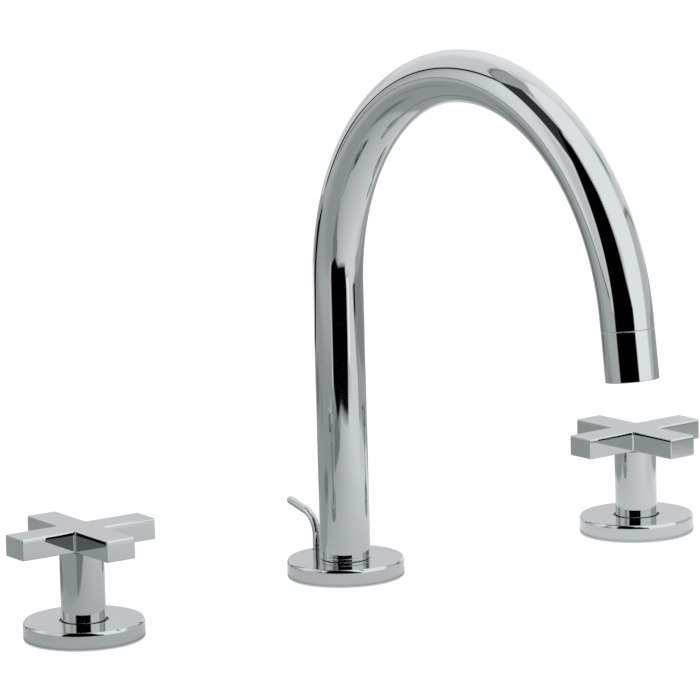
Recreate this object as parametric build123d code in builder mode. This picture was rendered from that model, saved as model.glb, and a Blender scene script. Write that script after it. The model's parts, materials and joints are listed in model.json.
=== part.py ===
from build123d import *
import os
from math import asin, degrees

os.makedirs("parts", exist_ok=True)

# Widespread basin faucet, in millimetres. The deck's top face is z = 0, the spout
# points to -Y, the hot handle is at -X and the cold handle at +X.

# Clearances, each per side
running_fit = 0.05  # a shaft in its bore
thread_fit = 0.05  # a male thread in its nut, both as plain cylinders
slip_fit = 0.1  # pieces that are laid together by hand
free_gap = 0.3  # moving faces that never touch
overrun = 1.0  # how far a cut runs past the face it starts from

# Places on the deck
deck_grip = 30.0  # thickness of deck between flange and nut
valve_spread = 162.0  # spout axis to handle axis
valve_forward = 20.0  # the handles stand this far in front of the spout

# Escutcheons: shallow cups with a hole in the top
escutcheon_radius = 28.0
escutcheon_height = 8.5
escutcheon_wall = 1.6
escutcheon_top = 1.8
escutcheon_edge_width = 1.2  # of the rounded top edge, towards the middle
escutcheon_edge_height = 2.4
handle_gap = 1.1  # open ring round a handle's stem
cup_radius = escutcheon_radius - escutcheon_wall
cup_ceiling = escutcheon_height - escutcheon_top

# Deck hardware, alike at the three stations
shank_radius = 14.0  # M28 thread
shank_depth = 62.0  # below the deck's top
gasket_thickness = 1.2
flange_radius = cup_radius - slip_fit
flange_thickness = 2.3
washer_radius = 20.0
rubber_thickness = 3.0
steel_thickness = 2.0
nut_across = 37.0
nut_height = 10.0
flange_top = gasket_thickness + flange_thickness
shank_bore = shank_radius + thread_fit
washer_bore = shank_radius + slip_fit
rubber_bottom = -deck_grip - rubber_thickness
steel_bottom = rubber_bottom - steel_thickness
nut_bottom = steel_bottom - nut_height

# Valve bodies
block_radius = 16.0
block_height = 30.0
inlet_radius = 10.48  # G1/2 thread
inlet_length = 16.0
outlet_radius = 8.33  # G3/8 thread
outlet_boss = 10.5
outlet_shoulder = 18.0  # from the axis to the face that the thread starts from
outlet_reach = 30.0  # from the axis to the end of the thread
outlet_turn = 15.0  # degrees, back towards the spout's tee
waterway_radius = 4.5
outlet_wall = 3.5  # metal between the inlet's waterway and the outlet's
chamber_radius = 12.0  # room round the cartridge's skirt
chamber_top = -9.0
seat_level = -23.0
channel_radius = 1.7
channel_gap = 0.1  # from a channel to the chamber's wall
channel_spread = 28.0  # degrees between neighbouring channels
channel_count = 3
block_bottom = -shank_depth - block_height
outlet_level = block_bottom + block_height / 2

# Quarter-turn ceramic cartridges
bonnet_washer_thickness = 0.5
bonnet_washer_radius = 13.4
bonnet_across = 22.0
bonnet_top = cup_ceiling - free_gap
bush_thread_radius = 10.48  # G1/2 thread
bush_thread_bottom = -7.0
skirt_radius = 9.2
skirt_bottom = -22.0
neck_radius = 7.6
neck_top = 14.2
cavity_radius = 7.8
cavity_top = -4.0
window_width = 9.0
window_height = 5.0
spindle_radius = 4.5
carrier_radius = cavity_radius - free_gap
carrier_top = -7.0
carrier_thickness = 3.0
stop_span = 44.0  # degrees taken by each stop and by each lug
quarter_turn = 90.0
leg_span = 28.0
leg_inner = 5.7
leg_bite = 1.4  # how deep the legs reach into the moving disc
moving_disc_top = -15.0
moving_disc_thickness = 2.5
fixed_disc_thickness = 3.0
port_inner = 1.8
port_outer = 5.2
port_span = 80.0
key_width = 2.0
key_inner = 7.0
seal_inner = 5.5
carrier_bottom = carrier_top - carrier_thickness
moving_disc_bottom = moving_disc_top - moving_disc_thickness
fixed_disc_bottom = moving_disc_bottom - fixed_disc_thickness
shank_top = flange_top - bonnet_washer_thickness
stop_height = cavity_top - carrier_top - slip_fit

# Spline that joins spindle and handle
spline_radius = 4.0
spline_depth = 0.45
spline_width = 0.9
spline_teeth = 20
spline_bottom = 15.0
spline_top = 31.0
spline_groove_depth = 0.7  # groove for the set screw's tip

# O-rings on the spindles and on the spout
spindle_ring_section = 0.55
spindle_ring_levels = (5.6, 9.4)
spout_ring_section = 0.75
spout_ring_levels = (-12.0, -20.0)

# Handles
stem_radius = 10.25
stem_wall = 1.5
stem_foot = 7.65
glide_top = 12.0
hub_gap = 1.0  # between the bush's neck and the hub above it
hub_web = 3.0
boss_radius = 7.0
boss_height = 3.5
bar_level = 42.0  # underside of the cross
bar_height = 10.0
bar_width = 15.0
bar_span = 70.5
bar_edge = 0.35
bar_corner = 1.0  # inner corners between the bars
shut_turn = 2.0  # degrees that a shut cross stands past square
screw_radius = 2.0  # M4
screw_head_radius = 3.5
screw_head_height = 4.0
screw_length = 11.0
socket_across = 3.0
set_socket_across = 2.0
socket_depth = 2.0
set_screw_level = 23.0
set_screw_sink = 0.5
hub_bottom = neck_top + hub_gap
web_bottom = bar_level - boss_height - hub_web
head_bottom = web_bottom - screw_head_height

# Spout
tube_radius = 12.0
tube_wall = 1.2
bend_radius = 109.5
bend_level = 141.0  # where the upright tube starts to bend
bend_angle = 173.0
tip_straight = 5.5  # tube past the bend, which the aerator screws into
spout_foot_gap = 0.15
foot_ring_height = 1.5
spigot_radius = 10.0
spigot_bottom = -28.0
spigot_bore = 7.0
plug_length = 16.0  # spigot inside the tube
swivel_limit = 60.0  # degrees to each side
slot_depth = 1.6
spout_flange_thickness = 5.2
spout_glide_width = 1.0
spout_foot = escutcheon_height + spout_foot_gap
tube_foot = spout_foot + foot_ring_height
tube_bore = tube_radius - tube_wall
spout_flange_top = gasket_thickness + spout_flange_thickness
stop_screw_level = gasket_thickness + spout_flange_thickness / 2
spout_shank_bore = spigot_radius + running_fit
spout_glide_radius = spout_shank_bore + slip_fit + spout_glide_width

# Tee under the spout, where the two valves' hoses come together
nose_radius = 11.0
nose_length = 12.5
tee_radius = 16.0
tee_height = 32.0
tee_floor = 5.5
tee_port_height = 11.0  # from the tee's bottom to its ports' axes
tee_gasket_thickness = 1.5
tee_boss = 9.4
tee_turn = 10.0  # degrees, forward towards the valves
tee_bottom = -shank_depth - tee_height
nose_bottom = -shank_depth - nose_length
tee_port_level = tee_bottom + tee_port_height

# Aerator at the spout's tip, measured along the tip's axis
housing_length = 22.5
housing_edge = 0.3
housing_bore = 9.3
thread_length = 5.2
lip_height = 2.0
lip_radius = 8.6
cage_wall = 1.2
cage_top = 6.0
grid_thickness = 2.4
grid_pitch = 2.4
grid_hole = 1.8
diffuser_thickness = 1.5
diffuser_hole = 0.8
diffuser_counts = (6, 12)
diffuser_radii = (2.4, 4.8)
aerator_washer_thickness = 2.5
aerator_washer_inner = 6.8

# Pop-up lift rod behind the spout
rod_radius = 2.0
rod_back = 23.5  # behind the spout's axis
rod_bottom = -100.0
rod_straight_top = 15.7
rod_bend_radius = 11.0
rod_bend_angle = 77.0
rod_finger = 14.5
rod_hole_gap = 0.35
guide_wall = 0.75
guide_bottom = -14.0
clamp_top = -82.0
clamp_height = 14.0
clamp_half_width = 6.0
link_offset = 9.0  # from the rod to the drain's link
link_radius = 2.6
clamp_front = 5.0
thumb_radius = 5.0
thumb_height = 8.0
thumb_shaft_radius = 2.5
guide_radius = rod_radius + running_fit + guide_wall

spout_base = Plane.XY
sides = {"hot": -1, "cold": 1}


def station(side):
    return Plane((sides[side] * valve_spread, -valve_forward, 0))


all_stations = (spout_base, station("hot"), station("cold"))


def spin(base):
    return Axis(base.origin, base.z_dir)


# The plane of a turned piece's half section: radius across, height on the base's axis
def half_plane(base):
    return Plane(origin=base.origin, x_dir=base.x_dir, z_dir=base.x_dir.cross(base.z_dir))


# Such a half section, from its corners
def turned(base, *points):
    with BuildSketch(half_plane(base)) as section:
        with BuildLine():
            Polyline(*points, close=True)
        make_face()
    return section.sketch


# A rectangle in such a half section, for plain rings, rods and bores
def ring(base, inner, outer, bottom, top):
    return turned(base, (inner, bottom), (outer, bottom), (outer, top), (inner, top))


# A piece of a ring seen from above, about its middle angle
def sector(base, inner, outer, middle, span):
    with BuildSketch(base) as piece:
        with BuildLine():
            far = CenterArc((0, 0), outer, middle - span / 2, span)
            near = CenterArc((0, 0), inner, middle - span / 2, span)
            Line(far @ 0, near @ 0)
            Line(far @ 1, near @ 1)
        make_face()
    return piece.sketch


# An O-ring's round section
def cord_section(base, centre, level, section_radius):
    with BuildSketch(half_plane(base)) as section:
        with Locations((centre, level)):
            Circle(section_radius)
    return section.sketch


# A place on a sideways branch, at an angle seen from above
def branch(base, level, angle):
    return Plane(
        origin=base.origin + Vector(0, 0, level),
        x_dir=Vector(0, 1, 0).rotate(Axis.Z, angle),
        z_dir=Vector(1, 0, 0).rotate(Axis.Z, angle),
    )


# A port for a hose's nut: a boss with a flat shoulder, then the thread
def port(place, boss):
    return turned(
        place,
        (0, 0),
        (boss, 0),
        (boss, outlet_shoulder),
        (outlet_radius, outlet_shoulder),
        (outlet_radius, outlet_reach),
        (0, outlet_reach),
    )


# The toothed outline, grown by the clearance for the handle's socket
def spline_outline(base, clearance):
    with BuildSketch(base) as outline:
        Circle(spline_radius + clearance)
        with PolarLocations(spline_radius + clearance, spline_teeth):
            Polygon(
                (overrun, spline_width / 2),
                (0, spline_width / 2),
                (-spline_depth, 0),
                (0, -spline_width / 2),
                (overrun, -spline_width / 2),
                align=None,
                mode=Mode.SUBTRACT,
            )
    return outline.sketch


def keep(piece, name):
    piece.part.label = name
    export_step(piece.part, f"parts/{name}.step")


# Deck hardware

def escutcheon(name, base, hole_radius):
    edge_inner = escutcheon_radius - escutcheon_edge_width
    edge_bottom = escutcheon_height - escutcheon_edge_height
    with BuildPart() as cup:
        with BuildSketch(half_plane(base)):
            with BuildLine():
                EllipticalCenterArc(
                    (edge_inner, edge_bottom),
                    escutcheon_edge_width,
                    escutcheon_edge_height,
                    arc_size=90,
                )
                Polyline(
                    (edge_inner, escutcheon_height),
                    (hole_radius, escutcheon_height),
                    (hole_radius, cup_ceiling),
                    (cup_radius, cup_ceiling),
                    (cup_radius, 0),
                    (escutcheon_radius, 0),
                    (escutcheon_radius, edge_bottom),
                )
            make_face()
        revolve(axis=spin(base))
        if base == spout_base:
            rod_place = Plane((0, rod_back, 0))
            revolve(
                ring(
                    rod_place,
                    0,
                    rod_radius + rod_hole_gap,
                    cup_ceiling - overrun,
                    escutcheon_height + overrun,
                ),
                axis=spin(rod_place),
                mode=Mode.SUBTRACT,
            )
    keep(cup, name)


def deck_gaskets():
    with BuildPart() as gasket:
        revolve(ring(spout_base, washer_bore, flange_radius, 0, gasket_thickness), axis=spin(spout_base))
        with BuildSketch():
            with Locations((0, rod_back)):
                Circle(guide_radius + slip_fit)
        extrude(amount=gasket_thickness, mode=Mode.SUBTRACT)
    keep(gasket, "spout_gasket")
    with BuildPart() as gaskets:
        for side in sides:
            revolve(
                ring(station(side), washer_bore, flange_radius, 0, gasket_thickness),
                axis=spin(station(side)),
            )
    keep(gaskets, "valve_gaskets")


def under_deck_hardware():
    with BuildPart() as rubbers:
        for base in all_stations:
            revolve(ring(base, washer_bore, washer_radius, rubber_bottom, -deck_grip), axis=spin(base))
    keep(rubbers, "rubber_washers")
    with BuildPart() as plates:
        for base in all_stations:
            revolve(ring(base, washer_bore, washer_radius, steel_bottom, rubber_bottom), axis=spin(base))
    keep(plates, "steel_washers")
    with BuildPart() as nuts:
        for base in all_stations:
            with BuildSketch(base.offset(nut_bottom)):
                RegularPolygon(nut_across / 2, 6, major_radius=False)
                Circle(shank_bore, mode=Mode.SUBTRACT)
            extrude(amount=nut_height)
    keep(nuts, "mounting_nuts")


# Valves

def valve_body(side):
    base = station(side)
    inward = outlet_turn if side == "hot" else 180 - outlet_turn
    outlet = branch(base, outlet_level, inward)
    chamber_bore = bush_thread_radius + thread_fit
    channel_place = chamber_radius - channel_gap - channel_radius
    with BuildPart() as body:
        revolve(
            turned(
                base,
                (0, block_bottom - inlet_length),
                (inlet_radius, block_bottom - inlet_length),
                (inlet_radius, block_bottom),
                (block_radius, block_bottom),
                (block_radius, -shank_depth),
                (shank_radius, -shank_depth),
                (shank_radius, shank_top),
                (0, shank_top),
            ),
            axis=spin(base),
        )
        revolve(port(outlet, outlet_boss), axis=spin(outlet))
        revolve(
            turned(
                base,
                (0, block_bottom - inlet_length - overrun),
                (waterway_radius, block_bottom - inlet_length - overrun),
                (waterway_radius, seat_level),
                (chamber_radius, seat_level),
                (chamber_radius, chamber_top),
                (chamber_bore, chamber_top),
                (chamber_bore, shank_top + overrun),
                (0, shank_top + overrun),
            ),
            axis=spin(base),
            mode=Mode.SUBTRACT,
        )
        revolve(
            ring(outlet, 0, waterway_radius, waterway_radius + outlet_wall, outlet_reach + overrun),
            axis=spin(outlet),
            mode=Mode.SUBTRACT,
        )
        # Channels that carry the water from the chamber down to the outlet
        first = inward - channel_spread * (channel_count - 1) / 2
        with BuildSketch(base.offset(outlet_level)):
            with PolarLocations(channel_place, channel_count, first, channel_spread * channel_count):
                Circle(channel_radius)
        extrude(amount=seat_level - outlet_level + overrun, mode=Mode.SUBTRACT)
    keep(body, f"{side}_valve_body")


def top_flanges():
    with BuildPart() as flanges:
        for side in sides:
            base = station(side)
            revolve(ring(base, shank_bore, flange_radius, gasket_thickness, flange_top), axis=spin(base))
    keep(flanges, "valve_top_flanges")


# The cartridge's bush has two stops in its ceiling; the spindle's lugs run between them
def cartridge_bush(side):
    base = station(side)
    bore = spindle_radius + running_fit
    with BuildPart() as bush:
        with BuildSketch(base.offset(flange_top)):
            RegularPolygon(bonnet_across / 2, 6, major_radius=False)
        extrude(amount=bonnet_top - flange_top)
        revolve(
            turned(
                base,
                (0, skirt_bottom),
                (skirt_radius, skirt_bottom),
                (skirt_radius, bush_thread_bottom),
                (bush_thread_radius, bush_thread_bottom),
                (bush_thread_radius, flange_top),
                (neck_radius, bonnet_top),
                (neck_radius, neck_top),
                (0, neck_top),
            ),
            axis=spin(base),
        )
        revolve(
            turned(
                base,
                (0, skirt_bottom - overrun),
                (cavity_radius, skirt_bottom - overrun),
                (cavity_radius, cavity_top),
                (bore, cavity_top),
                (bore, neck_top + overrun),
                (0, neck_top + overrun),
            ),
            axis=spin(base),
            mode=Mode.SUBTRACT,
        )
        for middle in (0, 180):
            extrude(
                sector(base.offset(cavity_top), bore, cavity_radius + slip_fit, middle, stop_span),
                amount=-stop_height,
            )
        # Keys that hold the fixed disc, and windows that let the water out
        with BuildSketch(base.offset(skirt_bottom)):
            for away in (-1, 1):
                with Locations((0, away * (key_inner + cavity_radius + slip_fit) / 2)):
                    Rectangle(key_width, cavity_radius + slip_fit - key_inner)
        extrude(amount=moving_disc_bottom - slip_fit - skirt_bottom)
        with BuildSketch(base.offset(moving_disc_top)):
            Rectangle(window_width, 2 * (skirt_radius + overrun))
        extrude(amount=window_height, mode=Mode.SUBTRACT)
    keep(bush, f"{side}_cartridge_bush")


# Shaft, disc carrier, stop lugs and spline in one turned and milled piece
def spindle(side):
    base = station(side)
    turn = -sides[side]
    lug_middle = turn * (180 - quarter_turn) / 2
    ring_groove = spindle_radius - 2 * spindle_ring_section
    half_groove = spindle_ring_section + running_fit
    with BuildPart() as shaft:
        revolve(
            turned(
                base,
                (0, carrier_bottom),
                (carrier_radius, carrier_bottom),
                (carrier_radius, carrier_top),
                (spindle_radius, carrier_top),
                (spindle_radius, spline_bottom),
                (0, spline_bottom),
            ),
            axis=spin(base),
        )
        extrude(spline_outline(base.offset(spline_bottom), 0), amount=spline_top - spline_bottom)
        for middle in (lug_middle, lug_middle + 180):
            extrude(
                sector(
                    base.offset(carrier_top),
                    spindle_radius - slip_fit,
                    carrier_radius,
                    middle,
                    stop_span,
                ),
                amount=stop_height,
            )
            extrude(
                sector(base.offset(carrier_bottom), leg_inner, carrier_radius, middle, leg_span),
                amount=moving_disc_top - leg_bite - carrier_bottom,
            )
        for level in spindle_ring_levels:
            groove = ring(
                base,
                ring_groove,
                spindle_radius + overrun,
                level - half_groove,
                level + half_groove,
            )
            revolve(groove, axis=spin(base), mode=Mode.SUBTRACT)
        revolve(
            ring(
                base,
                spline_radius - spline_groove_depth,
                spline_radius + overrun,
                set_screw_level - screw_radius - slip_fit,
                set_screw_level + screw_radius + slip_fit,
            ),
            axis=spin(base),
            mode=Mode.SUBTRACT,
        )
    keep(shaft, f"{side}_spindle")
    with BuildPart() as rings:
        for level in spindle_ring_levels:
            revolve(
                cord_section(base, spindle_radius - spindle_ring_section, level, spindle_ring_section),
                axis=spin(base),
            )
    keep(rings, f"{side}_spindle_o_rings")


# Two lapped ceramic discs: the moving one's ports stand a quarter turn from the fixed one's
def ceramic_discs(side):
    base = station(side)
    turn = -sides[side]
    lug_middle = turn * (180 - quarter_turn) / 2
    with BuildPart() as moving:
        revolve(ring(base, 0, carrier_radius, moving_disc_bottom, moving_disc_top), axis=spin(base))
        for middle in (0, 180):
            extrude(
                sector(base.offset(moving_disc_bottom), port_inner, port_outer, middle, port_span),
                amount=moving_disc_thickness,
                mode=Mode.SUBTRACT,
            )
            extrude(
                sector(
                    base.offset(moving_disc_top - leg_bite - slip_fit),
                    leg_inner - slip_fit,
                    carrier_radius + overrun,
                    lug_middle + middle,
                    leg_span + 2 * degrees(asin(slip_fit / carrier_radius)),
                ),
                amount=leg_bite + slip_fit,
                mode=Mode.SUBTRACT,
            )
    keep(moving, f"{side}_moving_disc")
    with BuildPart() as fixed:
        revolve(
            ring(base, 0, cavity_radius - slip_fit, fixed_disc_bottom, moving_disc_bottom), axis=spin(base)
        )
        for middle in (quarter_turn, quarter_turn + 180):
            extrude(
                sector(base.offset(fixed_disc_bottom), port_inner, port_outer, middle, port_span),
                amount=fixed_disc_thickness,
                mode=Mode.SUBTRACT,
            )
        with BuildSketch(base.offset(fixed_disc_bottom)):
            for away in (-1, 1):
                with Locations((0, away * (key_inner - slip_fit + cavity_radius) / 2)):
                    Rectangle(key_width + 2 * slip_fit, cavity_radius - key_inner + slip_fit)
        extrude(amount=fixed_disc_thickness, mode=Mode.SUBTRACT)
    keep(fixed, f"{side}_fixed_disc")


def valve_seals(side):
    base = station(side)
    with BuildPart() as seal:
        revolve(ring(base, seal_inner, key_inner - slip_fit, seat_level, fixed_disc_bottom), axis=spin(base))
    keep(seal, f"{side}_seat_seal")
    with BuildPart() as washer:
        revolve(
            ring(base, bush_thread_radius + slip_fit, bonnet_washer_radius, shank_top, flange_top),
            axis=spin(base),
        )
    keep(washer, f"{side}_bonnet_washer")
    # Nylon ring that the handle turns on, round the bush's neck; its flange fills the
    # escutcheon's hole
    sleeve = stem_radius - stem_wall - running_fit
    flange = stem_radius + handle_gap - slip_fit
    with BuildPart() as glide:
        revolve(
            turned(
                base,
                (neck_radius + slip_fit, bonnet_top),
                (flange, bonnet_top),
                (flange, stem_foot - running_fit),
                (sleeve, stem_foot - running_fit),
                (sleeve, glide_top),
                (neck_radius + slip_fit, glide_top),
            ),
            axis=spin(base),
        )
    keep(glide, f"{side}_glide_ring")


# Handles

# The set screw enters from behind
def set_screw_place(base):
    return Plane(origin=base.origin + Vector(0, 0, set_screw_level), x_dir=(1, 0, 0), z_dir=(0, 1, 0))


def handle_stem(side):
    base = station(side)
    with BuildPart() as stem:
        revolve(
            turned(
                base,
                (stem_radius - stem_wall, stem_foot),
                (stem_radius, stem_foot),
                (stem_radius, bar_level),
                (boss_radius, bar_level),
                (boss_radius, bar_level - boss_height),
                (screw_radius + slip_fit, bar_level - boss_height),
                (screw_radius + slip_fit, web_bottom),
                (screw_head_radius + slip_fit, web_bottom),
                (screw_head_radius + slip_fit, hub_bottom),
                (stem_radius - stem_wall, hub_bottom),
            ),
            axis=spin(base),
        )
        extrude(
            spline_outline(base.offset(hub_bottom), running_fit),
            amount=head_bottom - hub_bottom,
            mode=Mode.SUBTRACT,
        )
        with BuildSketch(set_screw_place(base)):
            Circle(screw_radius + thread_fit)
        extrude(amount=stem_radius + overrun, mode=Mode.SUBTRACT)
    keep(stem, f"{side}_handle_stem")


# Two flat bars crossing, with a boss that sits in the stem
def handle_cross(side):
    base = station(side)
    with BuildPart() as cross:
        with BuildSketch(base.offset(bar_level).rotated((0, 0, sides[side] * shut_turn))) as plan:
            Rectangle(bar_span, bar_width)
            Rectangle(bar_width, bar_span)
            fillet(plan.vertices().sort_by_distance(base.origin)[:4], bar_corner)
        extrude(amount=bar_height)
        rims = cross.faces().sort_by(Axis.Z)[-1].edges() + cross.faces().sort_by(Axis.Z)[0].edges()
        corners = cross.edges().filter_by(Axis.Z).sort_by_distance(base.origin)[-8:]
        chamfer(rims + corners, bar_edge)
        boss_bottom = bar_level - boss_height
        revolve(ring(base, 0, boss_radius - running_fit, boss_bottom, bar_level + overrun), axis=spin(base))
        revolve(
            ring(base, 0, screw_radius + thread_fit, boss_bottom - overrun, boss_bottom + screw_length),
            axis=spin(base),
            mode=Mode.SUBTRACT,
        )
    keep(cross, f"{side}_handle_cross")


def handle_screws(side):
    base = station(side)
    with BuildPart() as screw:
        revolve(
            turned(
                base,
                (0, head_bottom),
                (screw_head_radius, head_bottom),
                (screw_head_radius, web_bottom),
                (screw_radius, web_bottom),
                (screw_radius, web_bottom + screw_length),
                (0, web_bottom + screw_length),
            ),
            axis=spin(base),
        )
        with BuildSketch(base.offset(head_bottom)):
            RegularPolygon(socket_across / 2, 6, major_radius=False)
        extrude(amount=socket_depth, mode=Mode.SUBTRACT)
    keep(screw, f"{side}_handle_screw")
    tip = spline_radius - spline_groove_depth + slip_fit
    head = stem_radius - set_screw_sink
    place = set_screw_place(base)
    with BuildPart() as set_screw:
        with BuildSketch(place.offset(tip)):
            Circle(screw_radius)
        extrude(amount=head - tip)
        with BuildSketch(place.offset(head - socket_depth)):
            RegularPolygon(set_socket_across / 2, 6, major_radius=False)
        extrude(amount=socket_depth, mode=Mode.SUBTRACT)
    keep(set_screw, f"{side}_set_screw")


# Spout

def spout_shank():
    with BuildPart() as shank:
        revolve(
            turned(
                spout_base,
                (spigot_bore, nose_bottom),
                (nose_radius, nose_bottom),
                (nose_radius, -shank_depth),
                (shank_radius, -shank_depth),
                (shank_radius, gasket_thickness),
                (flange_radius, gasket_thickness),
                (flange_radius, spout_flange_top),
                (spout_shank_bore, spout_flange_top),
                (spout_shank_bore, spigot_bottom - free_gap),
                (spigot_bore, spigot_bottom - free_gap),
            ),
            axis=spin(spout_base),
        )
        with BuildSketch(spout_base.offset(gasket_thickness)):
            with Locations((0, rod_back)):
                Circle(guide_radius + slip_fit)
        extrude(amount=spout_flange_thickness, mode=Mode.SUBTRACT)
        with BuildSketch(Plane.YZ.offset(spigot_radius - overrun)):
            with Locations((0, stop_screw_level)):
                Circle(screw_radius + thread_fit)
        extrude(amount=flange_radius - spigot_radius + 2 * overrun, mode=Mode.SUBTRACT)
    keep(shank, "spout_shank")


# The turned foot of the spout: foot ring, spigot with its grooves, and plug in the tube
def spout_spigot():
    ring_groove = spigot_radius - 2 * spout_ring_section
    half_groove = spout_ring_section + slip_fit
    slot_reach = swivel_limit + degrees(asin((screw_radius + slip_fit) / (spigot_radius - slot_depth)))
    with BuildPart() as spigot:
        revolve(
            turned(
                spout_base,
                (spigot_bore, spigot_bottom),
                (spigot_radius, spigot_bottom),
                (spigot_radius, spout_foot),
                (tube_radius, spout_foot),
                (tube_radius, tube_foot),
                (tube_bore - running_fit, tube_foot),
                (tube_bore - running_fit, tube_foot + plug_length),
                (spigot_bore, tube_foot + plug_length),
            ),
            axis=spin(spout_base),
        )
        for level in spout_ring_levels:
            groove = ring(
                spout_base,
                ring_groove,
                spigot_radius + overrun,
                level - half_groove,
                level + half_groove,
            )
            revolve(groove, axis=spin(spout_base), mode=Mode.SUBTRACT)
        extrude(
            sector(
                spout_base.offset(stop_screw_level - screw_radius - slip_fit),
                spigot_radius - slot_depth,
                spigot_radius + overrun,
                0,
                2 * slot_reach,
            ),
            amount=2 * (screw_radius + slip_fit),
            mode=Mode.SUBTRACT,
        )
    keep(spigot, "spout_spigot")
    with BuildPart() as rings:
        for level in spout_ring_levels:
            revolve(
                cord_section(spout_base, spigot_radius - spout_ring_section, level, spout_ring_section),
                axis=spin(spout_base),
            )
    keep(rings, "spout_o_rings")


def spout_small_parts():
    with BuildPart() as glide:
        revolve(
            ring(
                spout_base,
                spout_glide_radius - spout_glide_width,
                spout_glide_radius,
                spout_flange_top,
                spout_foot - running_fit,
            ),
            axis=spin(spout_base),
        )
    keep(glide, "spout_glide_ring")
    tip = spigot_radius - slot_depth + slip_fit
    head = flange_radius - set_screw_sink
    with BuildPart() as screw:
        with BuildSketch(Plane.YZ.offset(tip)):
            with Locations((0, stop_screw_level)):
                Circle(screw_radius)
        extrude(amount=head - tip)
        with BuildSketch(Plane.YZ.offset(head - socket_depth)):
            with Locations((0, stop_screw_level)):
                RegularPolygon(set_socket_across / 2, 6, major_radius=False)
        extrude(amount=socket_depth, mode=Mode.SUBTRACT)
    keep(screw, "swivel_stop_screw")


# Upright tube and its bend as one path; the tube is swept along it
with BuildLine(Plane.YZ) as spout_path:
    Line((0, tube_foot), (0, bend_level))
    bend = CenterArc((-bend_radius, bend_level), bend_radius, 0, bend_angle)
    Line(bend @ 1, bend @ 1 + (bend % 1) * tip_straight)

tip = Plane(
    origin=spout_path.wires()[0] @ 1,
    x_dir=(1, 0, 0),
    z_dir=spout_path.wires()[0] % 1,
)


def spout_tube():
    with BuildPart() as tube:
        with BuildSketch(spout_base.offset(tube_foot)):
            Circle(tube_radius)
            Circle(tube_bore, mode=Mode.SUBTRACT)
        sweep(path=spout_path.wires()[0])
        # The edge is broken at the seam with the aerator's housing
        revolve(
            turned(
                tip,
                (tube_radius, -housing_edge),
                (tube_radius + overrun, -housing_edge),
                (tube_radius + overrun, overrun),
                (tube_radius - housing_edge, overrun),
                (tube_radius - housing_edge, 0),
            ),
            axis=spin(tip),
            mode=Mode.SUBTRACT,
        )
    keep(tube, "spout_tube")


def spout_tee():
    with BuildPart() as tee:
        revolve(
            turned(
                spout_base,
                (0, tee_bottom),
                (tee_radius, tee_bottom),
                (tee_radius, -shank_depth),
                (0, -shank_depth),
            ),
            axis=spin(spout_base),
        )
        ports = [branch(spout_base, tee_port_level, angle) for angle in (-tee_turn, 180 + tee_turn)]
        for place in ports:
            revolve(port(place, tee_boss), axis=spin(place))
        for place in ports:
            revolve(
                ring(place, 0, waterway_radius, 0, outlet_reach + overrun),
                axis=spin(place),
                mode=Mode.SUBTRACT,
            )
        revolve(
            turned(
                spout_base,
                (0, tee_bottom + tee_floor),
                (spigot_bore, tee_bottom + tee_floor),
                (spigot_bore, nose_bottom - tee_gasket_thickness),
                (nose_radius + thread_fit, nose_bottom - tee_gasket_thickness),
                (nose_radius + thread_fit, -shank_depth + overrun),
                (0, -shank_depth + overrun),
            ),
            axis=spin(spout_base),
            mode=Mode.SUBTRACT,
        )
    keep(tee, "spout_tee")
    with BuildPart() as gasket:
        revolve(
            ring(spout_base, spigot_bore, nose_radius, nose_bottom - tee_gasket_thickness, nose_bottom),
            axis=spin(spout_base),
        )
    keep(gasket, "tee_gasket")


# Aerator

def aerator_housing():
    with BuildPart() as housing:
        revolve(
            turned(
                tip,
                (housing_bore, -thread_length),
                (tube_bore - thread_fit, -thread_length),
                (tube_bore - thread_fit, 0),
                (tube_radius - housing_edge, 0),
                (tube_radius, housing_edge),
                (tube_radius, housing_length - housing_edge),
                (tube_radius - housing_edge, housing_length),
                (lip_radius, housing_length),
                (lip_radius, housing_length - lip_height),
                (housing_bore, housing_length - lip_height),
            ),
            axis=spin(tip),
        )
    keep(housing, "aerator_housing")


def aerator_insert():
    cage_radius = housing_bore - slip_fit
    cage_bottom = housing_length - lip_height
    grid_radius = cage_radius - cage_wall
    with BuildPart() as cage:
        revolve(ring(tip, grid_radius, cage_radius, cage_top, cage_bottom), axis=spin(tip))
        with BuildSketch(tip.offset(cage_bottom - grid_thickness)):
            Circle(grid_radius + slip_fit)
            count = int(2 * grid_radius / grid_pitch)
            with GridLocations(grid_pitch, grid_pitch, count, count) as grid:
                reach = grid_radius - grid_hole
                holes = [place for place in grid.local_locations if place.position.length < reach]
            with Locations(*holes):
                Rectangle(grid_hole, grid_hole, mode=Mode.SUBTRACT)
        extrude(amount=grid_thickness)
    keep(cage, "aerator_cage")
    with BuildPart() as diffuser:
        revolve(ring(tip, 0, grid_radius - slip_fit, cage_top, cage_top + diffuser_thickness), axis=spin(tip))
        with BuildSketch(tip.offset(cage_top)):
            for count, radius in zip(diffuser_counts, diffuser_radii):
                with PolarLocations(radius, count):
                    RegularPolygon(diffuser_hole, 6)
        extrude(amount=diffuser_thickness, mode=Mode.SUBTRACT)
    keep(diffuser, "aerator_diffuser")
    with BuildPart() as washer:
        revolve(
            ring(tip, aerator_washer_inner, cage_radius, cage_top - aerator_washer_thickness, cage_top),
            axis=spin(tip),
        )
    keep(washer, "aerator_washer")


# Lift rod for the pop-up waste

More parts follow.
